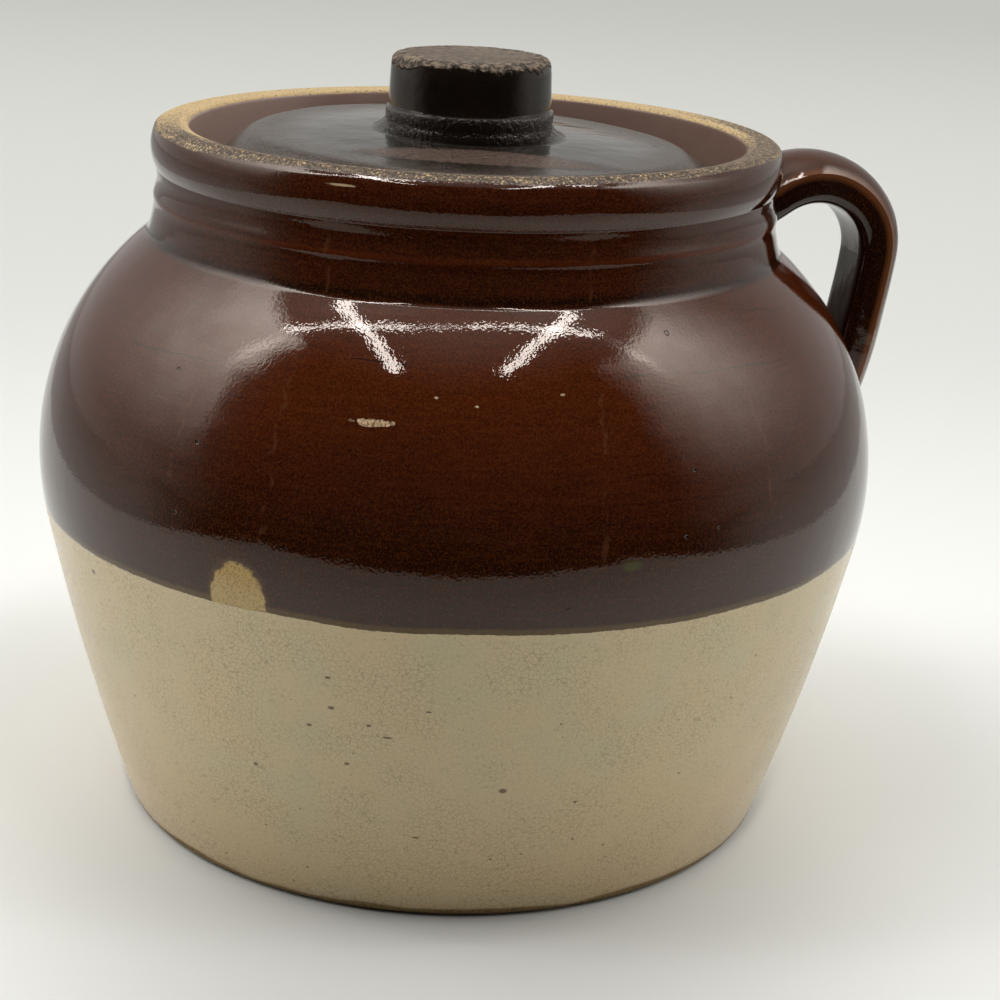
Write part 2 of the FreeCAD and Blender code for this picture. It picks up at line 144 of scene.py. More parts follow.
class Board:
    """The node tree of one material, or of the world."""

    def __init__(self, tree):
        self.tree = tree
        tree.nodes.clear()

    def node(self, kind, settings=None, inputs=None, output=0):
        made = self.tree.nodes.new(kind)
        for name, value in (settings or {}).items():
            setattr(made, name, value)
        for name, value in (inputs or {}).items():
            if isinstance(value, Signal):
                self.tree.links.new(value.socket, made.inputs[name])
            else:
                made.inputs[name].default_value = value
        if isinstance(output, tuple):
            return [Signal(self, made.outputs[name]) for name in output]
        return Signal(self, made.outputs[output])

    def place(self):
        return self.node("ShaderNodeTexCoord", output="Object")

    def axes(self, vector):
        return self.node("ShaderNodeSeparateXYZ", None, {0: vector}, ("X", "Y", "Z"))

    def vector(self, x, y, z):
        return self.node("ShaderNodeCombineXYZ", None, {"X": x, "Y": y, "Z": z})

    def shift(self, vector, offset):
        return self.node("ShaderNodeVectorMath", {"operation": "ADD"}, {0: vector, 1: offset})

    def scale(self, vector, amount):
        """A vector, or a colour, times a number."""
        return self.node("ShaderNodeVectorMath", {"operation": "SCALE"}, {0: vector, "Scale": amount})

    def mix(self, factor, first, second):
        settings = {"data_type": "RGBA", "clamp_factor": True}
        return self.node("ShaderNodeMix", settings, {0: factor, 6: solid(first), 7: solid(second)}, 2)

    def ease(self, value, start, stop):
        """0 before start, 1 after stop, and a smooth rise between them."""
        settings = {"interpolation_type": "SMOOTHSTEP"}
        if start < stop:
            return self.node("ShaderNodeMapRange", settings, {0: value, 1: start, 2: stop, 3: 0.0, 4: 1.0})
        return self.node("ShaderNodeMapRange", settings, {0: value, 1: stop, 2: start, 3: 1.0, 4: 0.0})

    def grain(self, vector, scale, detail=2.0, roughness=0.5):
        """Soft noise about 0.5; the scale is in waves per metre."""
        inputs = {"Vector": vector, "Scale": scale, "Detail": detail, "Roughness": roughness}
        return self.node("ShaderNodeTexNoise", None, inputs)

    def cells(self, vector, scale, feature="F1"):
        """How far a place is from the middle, or from the edge, of its cell."""
        inputs = {"Vector": vector, "Scale": scale}
        return self.node("ShaderNodeTexVoronoi", {"feature": feature}, inputs, "Distance")

    def bump(self, height):
        return self.node("ShaderNodeBump", None, {"Height": height, "Distance": 1.0, "Strength": 1.0})


def solid(colour):
    return colour + (1.0,) if isinstance(colour, tuple) else colour


def finish_board(name):
    material = bpy.data.materials.new(name)
    material.use_nodes = True
    return material, Board(material.node_tree)


def glossy(board, colour, roughness, height):
    """Glaze over clay: the coat reflects a little warmer than clear glass."""
    inputs = {"Base Color": colour, "Roughness": roughness, "Normal": board.bump(height), "IOR": 1.5,
              "Specular Tint": (1.0, 0.90, 0.82, 1.0)}
    surface = board.node("ShaderNodeBsdfPrincipled", None, inputs)
    board.node("ShaderNodeOutputMaterial", None, {"Surface": surface}, ())


# Finishes.

GLAZE_POOL = (0.023, 0.0054, 0.0022)
GLAZE_BROWN = (0.037, 0.0070, 0.0020)
GLAZE_THIN = (0.068, 0.0125, 0.0030)
GLAZE_RUST = (0.125, 0.036, 0.0095)
GLAZE_OCHRE, OCHRE_DARK = (0.095, 0.056, 0.017), (0.050, 0.030, 0.011)
RIDGE_RED, RUN_RED = (0.085, 0.016, 0.004), (0.12, 0.046, 0.022)
DROP_GREEN = (0.055, 0.060, 0.008)
POOL_BLACK, GRAIN_BLACK = (0.006, 0.002, 0.0012), (0.010, 0.003, 0.0015)
PIT_BLACK, CRACK_BLACK = (0.006, 0.003, 0.002), (0.009, 0.004, 0.003)
WIPED_GOLD, WIPED_DARK, RIND_BROWN = (0.46, 0.305, 0.100), (0.17, 0.105, 0.035), (0.11, 0.060, 0.018)
CHIP_PALE, CHIP_DARK, NICK_TAN = (0.62, 0.42, 0.25), (0.20, 0.115, 0.055), (0.50, 0.37, 0.22)
FOOT_OCHRE, FOOT_DARK, UNDERSIDE = (0.30, 0.195, 0.075), (0.15, 0.092, 0.032), (0.50, 0.40, 0.27)
BARE_CLAY = (0.56, 0.40, 0.19)
WORN_CLAY = (0.125, 0.088, 0.060)
GRIME = (0.030, 0.019, 0.012)
CREAM, CREAM_WARM, CREAM_COOL = (0.625, 0.510, 0.310), (0.66, 0.495, 0.290), (0.545, 0.505, 0.320)
CREAM_LOW, CRACKLE_BROWN, MOTTLE_BROWN = (0.60, 0.435, 0.245), (0.20, 0.145, 0.085), (0.27, 0.21, 0.13)
SPECK_BROWN, PINHOLE_BROWN, STAIN_BROWN = (0.10, 0.065, 0.04), (0.16, 0.11, 0.07), (0.12, 0.075, 0.045)


class Glazing:
    """What every finish reads: its place, its height and bearing, and grain of three sizes."""

    def __init__(self, name):
        self.material, self.board = finish_board(name)
        board = self.board
        self.place = board.place()
        self.x, self.y, self.z = board.axes(self.place)
        self.radius = (self.x * self.x + self.y * self.y) ** 0.5
        self.bearing = self.y.maths("ARCTAN2", self.x) * DEGREES
        self.fine = board.grain(self.place, 1900.0, 2.0, 0.6)
        self.broad = board.grain(self.place, 45.0, 3.0, 0.55)
        self.edge = board.grain(self.place, 520.0, 3.0, 0.6) - 0.5

    def rings(self, scale, detail=2.0):
        """Noise drawn out along the turning, for the lines a hand leaves on a wheel."""
        flat = self.board.vector(self.x * 0.10, self.y * 0.10, self.z)
        return self.board.grain(flat, scale, detail, 0.55)

    def spot(self, bearing, height, across, tall, soft=0.4, ragged=0.25):
        """A mark centred on a bearing and height, so many millimetres across and tall."""
        turn = (self.bearing - bearing) / DEGREES * self.radius / (across * 0.5 * MM)
        rise = (self.z - height * MM) / (tall * 0.5 * MM)
        reach = (turn * turn + rise * rise) ** 0.5 + self.edge * ragged * 2.0
        return self.board.ease(reach, 1.0 + soft * 0.5, 1.0 - soft * 0.5)

    def line(self, offset, width, start, stop, along):
        """A thin line where the offset, in metres, is nought, between two ends."""
        board, fade = self.board, 0.3
        ends = board.ease(along, start - fade, start + fade) * board.ease(along, stop + fade, stop - fade)
        return board.ease(abs(offset), width, width * 0.35) * ends

    def run(self, bearing, top, bottom, lean):
        """A run of glaze down the wall."""
        drift = (self.board.grain(self.place, 120.0, 3.0, 0.6) - 0.5) * 4.0
        away = (self.bearing - bearing - drift - (self.z - top * MM) * (lean / MM)) / DEGREES
        faint = self.board.ease(self.board.grain(self.place, 210.0, 2.0, 0.6), 0.40, 0.60)
        return self.line(away * self.radius, RUN_WIDTH, bottom, top, self.z / MM) * faint


def brown_glaze(glazing):
    """Thin and redder where it ran off the shoulder, pooled and dark under the rim and at its foot."""
    board, z = glazing.board, glazing.z
    wander = (glazing.broad - 0.5) * (20.0 * MM) + (glazing.rings(330.0) - 0.5) * (12.0 * MM)
    height = z + wander
    colour = board.mix(board.ease(height, 104.0 * MM, 124.0 * MM), GLAZE_POOL, GLAZE_BROWN)
    colour = board.mix(board.ease(height, 112.0 * MM, 150.0 * MM), colour, GLAZE_THIN)
    neck = board.ease(z + glazing.edge * MM, CREASE_HEIGHT - 0.4 * MM, CREASE_HEIGHT + 0.6 * MM)
    colour = board.mix(neck * 0.72, colour, GLAZE_POOL)
    ridge_wave = (board.grain(glazing.place, 26.0, 2.0, 0.5) - 0.5) * (2.2 * MM)
    ridge = board.ease(abs(z - (ridge_wave + NECK_RIDGE_HEIGHT)), 1.3 * MM, 0.2 * MM)
    colour = board.mix(ridge * 0.75, colour, RIDGE_RED)
    colour = board.mix(board.ease(z, 185.2 * MM, 188.5 * MM) * 0.6, colour, GLAZE_BROWN)
    pool = board.ease(abs(z - (CREASE_HEIGHT + 1.0 * MM)), 2.2 * MM, 0.4 * MM)
    colour = board.mix(pool * 0.85, colour, POOL_BLACK)
    colour = board.mix(board.ease(glazing.rings(1100.0, 3.0), 0.42, 0.70) * 0.13, colour, GLAZE_RUST)
    colour = board.mix(board.ease(glazing.rings(760.0, 3.0), 0.56, 0.36) * 0.22, colour, GLAZE_POOL)
    colour = board.mix(board.ease(glazing.fine, 0.50, 0.66) * 0.30, colour, GLAZE_RUST)
    return board.mix(board.ease(glazing.fine, 0.50, 0.36) * 0.45, colour, GRAIN_BLACK)


def marked_brown(glazing):
    """The brown glaze with its runs, a green drop, fine cracks and pits; and where the pits are."""
    board, brown = glazing.board, brown_glaze(glazing)
    for run in RUNS:
        brown = board.mix(glazing.run(*run) * 0.34, brown, RUN_RED)
    brown = board.mix(glazing.spot(*GREEN_DROP, soft=0.9) * 0.6, brown, DROP_GREEN)
    wander = (board.grain(glazing.place, 90.0, 3.0, 0.6) - 0.5) * (2.2 * MM)
    for height, start, stop, lean in CRACKS:
        offset = glazing.z + wander - height * MM - (glazing.bearing - start) * (lean * MM)
        crack = glazing.line(offset, CRACK_WIDTH, start, stop, glazing.bearing)
        brown = board.mix(crack * 0.75, brown, CRACK_BLACK)
    pitted = 0.0
    for bearing, height, size in PITS:
        pitted = glazing.spot(bearing, height, size, size * 0.8, 0.5, 0.1) + pitted
    return board.mix(pitted, brown, PIT_BLACK), pitted


def cream_glaze(glazing):
    """Cream with warm and cool clouds, a net of fine cracks, specks, pinholes and stains."""
    board, place = glazing.board, glazing.place
    shifted = board.shift(place, (0.7, 0.2, 0.4))
    blush, cool = board.grain(place, 26.0, 3.0, 0.6), board.grain(shifted, 24.0, 3.0, 0.6)
    colour = board.mix(board.ease(blush, 0.46, 0.68) * 0.65, CREAM, CREAM_WARM)
    colour = board.mix(board.ease(cool, 0.47, 0.68) * 0.60, colour, CREAM_COOL)
    low = board.ease(glazing.z + (blush - 0.5) * (30.0 * MM), 50.0 * MM, 10.0 * MM)
    colour = board.mix(low * 0.45, colour, CREAM_LOW)
    swirl = board.node("ShaderNodeTexNoise", None, {"Vector": place, "Scale": 700.0}, "Color")
    crackle = board.cells(board.shift(place, board.scale(swirl, 1.1 * MM)), 780.0, "DISTANCE_TO_EDGE")
    strength = board.ease(board.grain(shifted, 60.0, 2.0, 0.5), 0.36, 0.62) * 0.30 + 0.16
    colour = board.mix(board.ease(crackle, 0.085, 0.0) * strength, colour, CRACKLE_BROWN)
    mottle = board.grain(place, 1300.0, 2.0, 0.6)
    colour = board.mix(board.ease(mottle, 0.54, 0.76) * 0.30, colour, MOTTLE_BROWN)
    colour = board.mix(board.ease(board.cells(place, 118.0), 0.055, 0.030) * 0.75, colour, SPECK_BROWN)
    colour = board.mix(board.ease(board.cells(shifted, 260.0), 0.07, 0.04) * 0.6, colour, PINHOLE_BROWN)
    stained = 0.0
    for bearing, height, across, tall in STAINS:
        stained = glazing.spot(bearing, height, across, tall, 0.5, 0.2) + stained
    return board.mix(stained * 0.85, colour, STAIN_BROWN), crackle


def rim_wear(glazing, colour):
    """The lip was wiped bare: sandy at the back and along its outer edge, and grimy in front."""
    board = glazing.board
    behind = ((glazing.bearing - SANDIEST_BEARING) / DEGREES).maths("COSINE") * 0.5 + 0.5
    outward = (glazing.radius - 77.0 * MM) / (8.3 * MM)
    sandy = board.ease(behind, 0.36, 0.80) * board.ease(outward, 1.02, 0.90) * 0.95
    patchy = board.ease(glazing.broad, 0.42, 0.62)
    sandy = sandy.most(board.ease(outward, 0.80, 0.93) * board.ease(outward, 1.10, 1.0) * 0.32 * patchy)
    sandy = sandy.most(board.ease(behind, 0.18, 0.5) * board.ease(outward, 0.45, 0.15) * 0.85).most(0.05)
    grit = board.grain(glazing.place, 1500.0, 2.0, 0.7)
    dots = board.grain(glazing.place, 1500.0, 3.0, 0.65)
    clay = board.mix(board.ease(grit + sandy * 0.235, 0.600, 0.650), WORN_CLAY, BARE_CLAY)
    clay = board.mix(board.ease(dots + sandy * 0.16, 0.50, 0.44), clay, GRIME)
    uneven = glazing.edge * (0.6 * MM) + (glazing.broad - 0.5) * MM
    raised = board.ease(glazing.y, -30.0 * MM, -70.0 * MM) * (1.2 * MM)
    lip = board.ease(glazing.z + uneven - raised, 190.6 * MM, 191.0 * MM)
    lip = lip * board.ease(glazing.radius + uneven, 76.1 * MM, 76.4 * MM)
    return board.mix(lip, colour, clay), lip


def pot_glaze():
    """The outside: cream below the glaze line, an ochre edge, brown above, a bare lip and foot."""
    glazing = Glazing("pot_glaze_brown_over_cream")
    board, z, fine = glazing.board, glazing.z, glazing.fine
    brown, pitted = marked_brown(glazing)
    cream, crackle = cream_glaze(glazing)
    waver = (board.grain(glazing.place, 26.0, 2.0, 0.5) - 0.5) * (2.2 * MM) + glazing.edge * (0.6 * MM)
    line = z + waver - GLAZE_LINE
    ochre = board.mix(board.ease(fine, 0.42, 0.62) * 0.5, GLAZE_OCHRE, OCHRE_DARK)
    colour = board.mix(board.ease(line, -0.06 * MM, 0.06 * MM), cream, ochre)
    colour = board.mix(board.ease(line, 1.0 * MM, 2.1 * MM), colour, brown)

    wiped = glazing.spot(*WIPED_SPOT, soft=0.10, ragged=0.14)
    wiped = wiped * board.ease(line + glazing.edge * MM, -0.1 * MM, 0.2 * MM)
    gold = board.mix(board.ease(fine, 0.50, 0.62) * 0.75, WIPED_GOLD, WIPED_DARK)
    gold = board.mix(board.ease(z, 98.5 * MM, 92.5 * MM) * 0.20, gold, CREAM)
    rind = glazing.spot(*WIPED_RIND, soft=0.25, ragged=0.15) * board.ease(line, 0.0, 0.4 * MM)
    colour = board.mix(wiped, board.mix(rind * 0.55, colour, RIND_BROWN), gold)
    chip = glazing.spot(*CHIP, soft=0.25, ragged=0.9)
    for bearing, height in CHIP_SPECKS:
        chip = chip.most(glazing.spot(bearing, height, 1.0, 0.5, 0.5, 0.6))
    colour = board.mix(chip, colour, board.mix(board.ease(fine, 0.42, 0.58), CHIP_DARK, CHIP_PALE))
    colour = board.mix(glazing.spot(*BAND_NICK, soft=0.6, ragged=0.5) * 0.8, colour, NICK_TAN)

    colour, lip = rim_wear(glazing, colour)
    foot_edge = (board.grain(glazing.place, 40.0, 2.0, 0.5) - 0.5) * (3.6 * MM)
    foot = board.ease(z + foot_edge, 3.4 * MM, 2.2 * MM)
    colour = board.mix(foot, colour, board.mix(board.ease(fine, 0.40, 0.62), FOOT_DARK, FOOT_OCHRE))
    under = board.ease(z, 0.4 * MM, 0.2 * MM)
    colour = board.mix(under, colour, UNDERSIDE)

    bare = lip.most(foot).most(wiped * 0.55).most(chip * 0.8).most(under)
    roughness = board.ease(line, 0.1 * MM, -0.1 * MM) * 0.18 + 0.035 + bare * 0.5
    peel = board.grain(glazing.place, 1250.0, 1.0, 0.5)
    swell = glazing.rings(95.0, 2.0) * 0.4 + board.grain(glazing.place, 62.0, 2.0, 0.5) * 0.8
    height = peel * (0.020 * MM) + swell * (0.16 * MM) + glazing.rings(420.0, 1.0) * (0.012 * MM)
    height = height + (lip + foot) * fine * (0.12 * MM) + board.ease(line, -0.4 * MM, 0.5 * MM) * (0.18 * MM)
    cracked = board.ease(crackle, 0.06, 0.0) * board.ease(line, 0.0, -MM)
    height = height - (wiped + chip) * (0.12 * MM) - cracked * (0.016 * MM) - pitted * (0.10 * MM)
    glossy(board, colour, roughness, height)
    return glazing.material


def gallery_glaze():
    """The inside: a thin, milky brown round the lid, painted darker towards the handle's side as painted
    shade, dark below, and a worn seat on the ledge.
    """
    glazing = Glazing("pot_glaze_inside")
    board = glazing.board
    milky = board.ease(glazing.fine, 0.45, 0.72)
    colour = board.mix(milky * 0.35, (0.36, 0.250, 0.214), (0.43, 0.300, 0.245))
    colour = board.mix(board.ease(glazing.broad, 0.45, 0.68) * 0.35, colour, (0.22, 0.120, 0.092))
    # Painted shade: the inside wall is painted darker towards +X, the handle's side.
    painted_shade_towards_handle = board.ease(glazing.x, 10.0 * MM, 70.0 * MM)
    colour = board.mix(painted_shade_towards_handle * 0.70, colour, (0.15, 0.082, 0.060))
    colour = board.mix(board.ease(glazing.z, 158.0 * MM, 172.0 * MM), (0.045, 0.013, 0.006), colour)
    colour, lip = rim_wear(glazing, colour)
    seat = board.ease(abs(glazing.z - LEDGE_HEIGHT + glazing.edge * (0.5 * MM)), 0.6 * MM, 0.3 * MM)
    seat = seat * board.ease(glazing.radius, 75.5 * MM, 74.5 * MM)
    colour = board.mix(seat * 0.7, colour, (0.34, 0.24, 0.12))
    height = board.grain(glazing.place, 1500.0, 2.0, 0.5) * (0.012 * MM) + glazing.rings(300.0) * (0.10 * MM)
    glossy(board, colour, lip * 0.25 + 0.30, height)
    return glazing.material


def handle_glaze():
    """Brown on the crowned outside, painted near black on the sides and inside the loop as painted shade, and
    thin along the edges.
    """
    glazing = Glazing("handle_glaze_brown")
    board = glazing.board
    arris = board.node("ShaderNodeAttribute", {"attribute_name": "arris"}, None, "Fac")
    crown = board.node("ShaderNodeAttribute", {"attribute_name": "crown"}, None, "Fac")
    clouds = board.ease(glazing.broad + glazing.edge * 0.15, 0.42, 0.62)
    # Painted shade: all but the crown, that is the sides and the inside of the loop, is painted near black,
    # darker than the same brown glaze on the pot.
    colour = board.mix(clouds * 0.5, (0.012, 0.0040, 0.0020), (0.020, 0.0056, 0.0022))
    colour = board.mix(crown * 0.85, colour, (0.060, 0.0150, 0.0050))
    colour = board.mix(board.ease(glazing.z, 150.0 * MM, 110.0 * MM) * 0.3, colour, GLAZE_BROWN)
    thin = board.ease(arris + (glazing.broad - 0.5) * 0.4, 0.20, 0.85)
    colour = board.mix(thin * 0.85, colour, (0.150, 0.052, 0.019))
    colour = board.mix(board.ease(glazing.fine, 0.50, 0.74) * 0.30, colour, GLAZE_RUST)
    peel = board.grain(glazing.place, 1300.0, 2.0, 0.5)
    swell = board.grain(glazing.place, 95.0, 2.0, 0.5)
    glossy(board, colour, 0.05, peel * (0.016 * MM) + swell * (0.22 * MM))
    return glazing.material


def lid_glaze():
    """Near black, gritty on the lid's slope with a painted grey sheen there, a painted reflection of the knob
    in front of it with a dark rim and a duller finish, and worn on the knob's top.
    """
    glazing = Glazing("lid_glaze_dark")
    board, z, place = glazing.board, glazing.z, glazing.place
    fine, broad, edge, radius = glazing.fine, glazing.broad, glazing.edge, glazing.radius
    colour = board.mix(board.ease(fine, 0.45, 0.75) * 0.5, (0.0085, 0.0062, 0.0045), (0.034, 0.018, 0.010))
    colour = board.mix(board.ease(broad, 0.46, 0.66) * 0.5, colour, (0.020, 0.010, 0.006))
    # Partly real grit and partly a painted sheen: the lid's slope is painted grey where its grit breaks the
    # glaze, standing in for the grey sheen it shows.
    slope = board.ease(radius + (broad - 0.5) * (20.0 * MM), 40.0 * MM, 58.0 * MM)
    grit = board.grain(place, 1500.0, 2.0, 0.7)
    colour = board.mix(slope * board.ease(grit, 0.40, 0.60) * 0.75, colour, (0.098, 0.072, 0.056))

    # Painted reflection: an oval in front of the knob, placed as seen from the camera, is painted grey-brown
    # where the knob reflects in the lid. The same oval is given a duller finish.
    right, ahead = from_sight(glazing.x, glazing.y)
    off_right = (right - KNOB_REFLECTION_RIGHT) / KNOB_REFLECTION_HALF_WIDTH
    off_ahead = (ahead + KNOB_REFLECTION_IN_FRONT) / KNOB_REFLECTION_HALF_DEPTH
    reach = (off_right * off_right + off_ahead * off_ahead) ** 0.5 + edge * 0.5
    lid_only = board.ease(z, 193.0 * MM, 192.0 * MM)
    dull_and_painted_reflection = board.ease(reach, 1.15, 0.80) * lid_only
    colour = board.mix(dull_and_painted_reflection * board.ease(grit, 0.36, 0.56) * 0.9, colour, (0.115, 0.074, 0.056))
    # Painted reflection: a near black rim round the knob's reflection.
    ring = board.ease(abs(reach - 1.0), 0.22, 0.04) * board.ease(grit, 0.44, 0.54) * lid_only
    colour = board.mix(ring * 0.7, colour, (0.006, 0.004, 0.003))

    worn = z + edge * (2.2 * MM) + (board.grain(place, 70.0, 3.0, 0.6) - 0.5) * (9.5 * MM)
    top = board.ease(worn, 209.0 * MM, 209.8 * MM) * board.ease(radius, 26.0 * MM, 24.0 * MM)
    gritty = board.grain(place, 620.0, 3.0, 0.7)
    clay = board.mix(board.ease(gritty, 0.42, 0.60), (0.026, 0.018, 0.013), (0.25, 0.185, 0.130))
    rubbed = board.mix(board.ease(broad, 0.40, 0.62), (0.105, 0.079, 0.060), (0.150, 0.117, 0.088))
    middle = board.ease(radius + edge * (6.0 * MM) + (broad - 0.5) * (20.0 * MM), 18.5 * MM, 15.0 * MM)
    colour = board.mix(top, colour, board.mix(middle * 0.65, clay, rubbed))
    pitted = board.ease(board.cells(place, 85.0), 0.070, 0.035) * (1.0 - top)
    colour = board.mix(pitted * 0.9, colour, (0.004, 0.003, 0.002))

    roughness = top * 0.5 + 0.11 + slope * 0.20 + dull_and_painted_reflection * 0.25
    collar = board.ease(abs(z - (LID_TOP_HEIGHT + BEAD)), BEAD * 1.3, BEAD * 0.8)
    collar = collar * board.ease(radius, 27.5 * MM, 25.0 * MM)
    peel, swell = board.grain(place, 1400.0, 2.0, 0.5), board.grain(place, 85.0, 3.0, 0.5)
    height = peel * (0.014 * MM) + swell * (0.35 * MM) - pitted * (0.4 * MM)
    height = height + top * gritty * (1.2 * MM) + collar * gritty * (0.8 * MM)
    glossy(board, colour, roughness, height)
    return glazing.material


# Turning: an outline is a wire in the XZ plane, drawn from its last point, then spun about Z.

def crossing(centre_a, radius_a, centre_b, radius_b, right=True):
    """Where two circles cross, on the right or on the left of the way from a to b."""
    a, b = Vector(centre_a), Vector(centre_b)
    gap = (b - a).length
    along = (radius_a ** 2 - radius_b ** 2 + gap ** 2) / (2 * gap)
    off = math.sqrt(radius_a ** 2 - along ** 2)
    way = (b - a) / gap
    side = Vector((way.y, -way.x)) * (1 if right else -1)
    return a + way * along + side * off


def bearing_of(centre, point):
    return math.atan2(point[1] - centre[1], point[0] - centre[0])


class Turning:
    def __init__(self, radius, height):
        self.bm = bmesh.new()
        self.tip = self.bm.verts.new((radius, 0.0, height))

    def at(self):
        return (self.tip.co.x, self.tip.co.z)

    def line(self, radius, height, steps=1):
        start, end = self.tip.co.copy(), Vector((radius, 0.0, height))
        for step in range(1, steps + 1):
            self.tip = bmesh.ops.extrude_vert_indiv(self.bm, verts=[self.tip])["verts"][0]
            self.tip.co = start.lerp(end, step / steps)

    def arc(self, centre, end, steps):
        """Round the centre from the last point to the bearing of the end point, the short way."""
        turn = bearing_of(centre, end) - bearing_of(centre, self.at())
        turn = (turn + math.pi) % (2 * math.pi) - math.pi
        made = bmesh.ops.spin(self.bm, geom=[self.tip], cent=(centre[0], 0.0, centre[1]),
                              axis=(0.0, -1.0, 0.0), dvec=(0.0, 0.0, 0.0), angle=turn, steps=steps)
        self.tip = next(item for item in made["geom_last"] if isinstance(item, bmesh.types.BMVert))

    def turned(self, steps):
        outline = self.bm.verts[:] + self.bm.edges[:]
        bmesh.ops.spin(self.bm, geom=outline, cent=(0.0, 0.0, 0.0), axis=(0.0, 0.0, 1.0),
                       dvec=(0.0, 0.0, 0.0), angle=2 * math.pi, steps=steps, use_merge=True)
        bmesh.ops.remove_doubles(self.bm, verts=self.bm.verts[:], dist=0.000002)
        bmesh.ops.dissolve_degenerate(self.bm, edges=self.bm.edges[:], dist=0.000001)
        bmesh.ops.recalc_face_normals(self.bm, faces=self.bm.faces[:])
        return self.bm


def piece(name, bm, body, materials):
    """One piece of the pot, named like the solid that it replaces."""
    mesh = bpy.data.meshes.new(name)
    for face in bm.faces:
        face.smooth = True
    bm.to_mesh(mesh)
    bm.free()
    mesh.set_sharp_from_angle(angle=SHARP_CORNER)
    made = bpy.data.objects.new(name, mesh)
    bpy.context.scene.collection.objects.link(made)
    for material in materials:
        mesh.materials.append(material)
    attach(made, body)
    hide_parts(NODES[name])
    return made


NODES = {"pot": "vessel", "handle": "handle", "lid": "lid", "knob": "knob"}
SHARP_CORNER = math.radians(38.0)

# The centres of the outside's arcs, and where they meet.
SHOULDER_CENTRE = (BELLY_RADIUS - SHOULDER_ROUND, BELLY_HEIGHT)
WALL_CENTRE = crossing((BASE_RADIUS, 0.0), WALL_ROUND,
                       SHOULDER_CENTRE, WALL_ROUND - SHOULDER_ROUND, right=False)
CREASE_RADIUS = SHOULDER_CENTRE[0] + math.sqrt(SHOULDER_ROUND ** 2 - (CREASE_HEIGHT - BELLY_HEIGHT) ** 2)
NECK_CENTRE = crossing((CREASE_RADIUS, CREASE_HEIGHT), NECK_ROUND,
                       (GROOVE_RADIUS, GROOVE_HEIGHT), NECK_ROUND)
BAND_CENTRE = crossing((GROOVE_RADIUS, GROOVE_HEIGHT), BAND_ROUND,
                       (LIP_RADIUS, POT_HEIGHT), BAND_ROUND, right=False)


def pot_outline():
    """The whole wall: underside, outside, lip, gallery, inside and floor."""
    out = Turning(0.0, 0.0)
    reach = WALL_ROUND - FOOT_ROUND
    foot_x = WALL_CENTRE[0] + math.sqrt(reach ** 2 - (WALL_CENTRE[1] - FOOT_ROUND) ** 2)
    foot = (foot_x, FOOT_ROUND)
    out.line(foot_x * 0.5, 0.0)
    out.line(foot_x, 0.0)
    outward = Vector(foot) - Vector(WALL_CENTRE)
    out.arc(foot, Vector(foot) + outward, 8)
    out.arc(WALL_CENTRE, SHOULDER_CENTRE, 40)

    crease = crossing(SHOULDER_CENTRE, SHOULDER_ROUND + CREASE_ROUND,
                      NECK_CENTRE, NECK_ROUND - CREASE_ROUND, right=False)
    out.arc(SHOULDER_CENTRE, crease, 44)
    out.arc(crease, Vector(crease) * 2 - Vector(NECK_CENTRE), 12)
    groove = crossing(NECK_CENTRE, NECK_ROUND - GROOVE_ROUND,
                      BAND_CENTRE, BAND_ROUND + GROOVE_ROUND, right=False)
    out.arc(NECK_CENTRE, groove, 16)
    out.arc(groove, BAND_CENTRE, 6)
    lip_height = POT_HEIGHT - LIP_ROUND
    lip_reach = math.sqrt((BAND_ROUND - LIP_ROUND) ** 2 - (lip_height - BAND_CENTRE[1]) ** 2)
    lip = (BAND_CENTRE[0] + lip_reach, lip_height)
    out.arc(BAND_CENTRE, lip, 14)
    out.arc(lip, (lip[0], POT_HEIGHT), 6)

    inner, throat_round = LIP_INNER_ROUND, LIP_INNER_ROUND + 0.1 * MM
    out.line(GALLERY_RADIUS + inner, POT_HEIGHT, 5)
    out.arc((GALLERY_RADIUS + inner, POT_HEIGHT - inner), (GALLERY_RADIUS, POT_HEIGHT - inner), 5)
    out.line(GALLERY_RADIUS, LEDGE_HEIGHT + inner, 8)
    out.arc((GALLERY_RADIUS - inner, LEDGE_HEIGHT + inner), (GALLERY_RADIUS - inner, LEDGE_HEIGHT), 4)
    out.line(MOUTH_RADIUS + throat_round, LEDGE_HEIGHT, 2)
    out.arc((MOUTH_RADIUS + throat_round, LEDGE_HEIGHT - throat_round),
            (MOUTH_RADIUS, LEDGE_HEIGHT - throat_round), 4)
    inner_shoulder = SHOULDER_ROUND - WALL
    throat = SHOULDER_CENTRE[1] + math.sqrt(inner_shoulder ** 2 - (MOUTH_RADIUS - SHOULDER_CENTRE[0]) ** 2)
    out.line(MOUTH_RADIUS, throat, 2)
    inner_wall = WALL_ROUND - WALL
    out.arc(SHOULDER_CENTRE, Vector(SHOULDER_CENTRE) * 2 - Vector(WALL_CENTRE), 26)
    corner_height = FLOOR + FLOOR_ROUND
    corner_reach = math.sqrt((inner_wall - FLOOR_ROUND) ** 2 - (corner_height - WALL_CENTRE[1]) ** 2)
    corner_x = WALL_CENTRE[0] + corner_reach
    out.arc(WALL_CENTRE, (corner_x, corner_height), 20)
    out.arc((corner_x, corner_height), (corner_x, FLOOR), 8)
    out.line(corner_x * 0.5, FLOOR, 2)
    out.line(0.0, FLOOR, 1)
    return out


def outside_radius(height):
    """How far out the pot's wall stands at a height, between the foot and the lip."""
    centre, reach = (WALL_CENTRE, WALL_ROUND) if height < BELLY_HEIGHT else (SHOULDER_CENTRE, SHOULDER_ROUND)
    if height > CREASE_HEIGHT:
        return GROOVE_RADIUS
    return centre[0] + math.sqrt(reach ** 2 - (height - centre[1]) ** 2)


def smooth_step(value, start, stop):
    share = min(1.0, max(0.0, (value - start) / (stop - start)))
    return share * share * (3.0 - 2.0 * share)


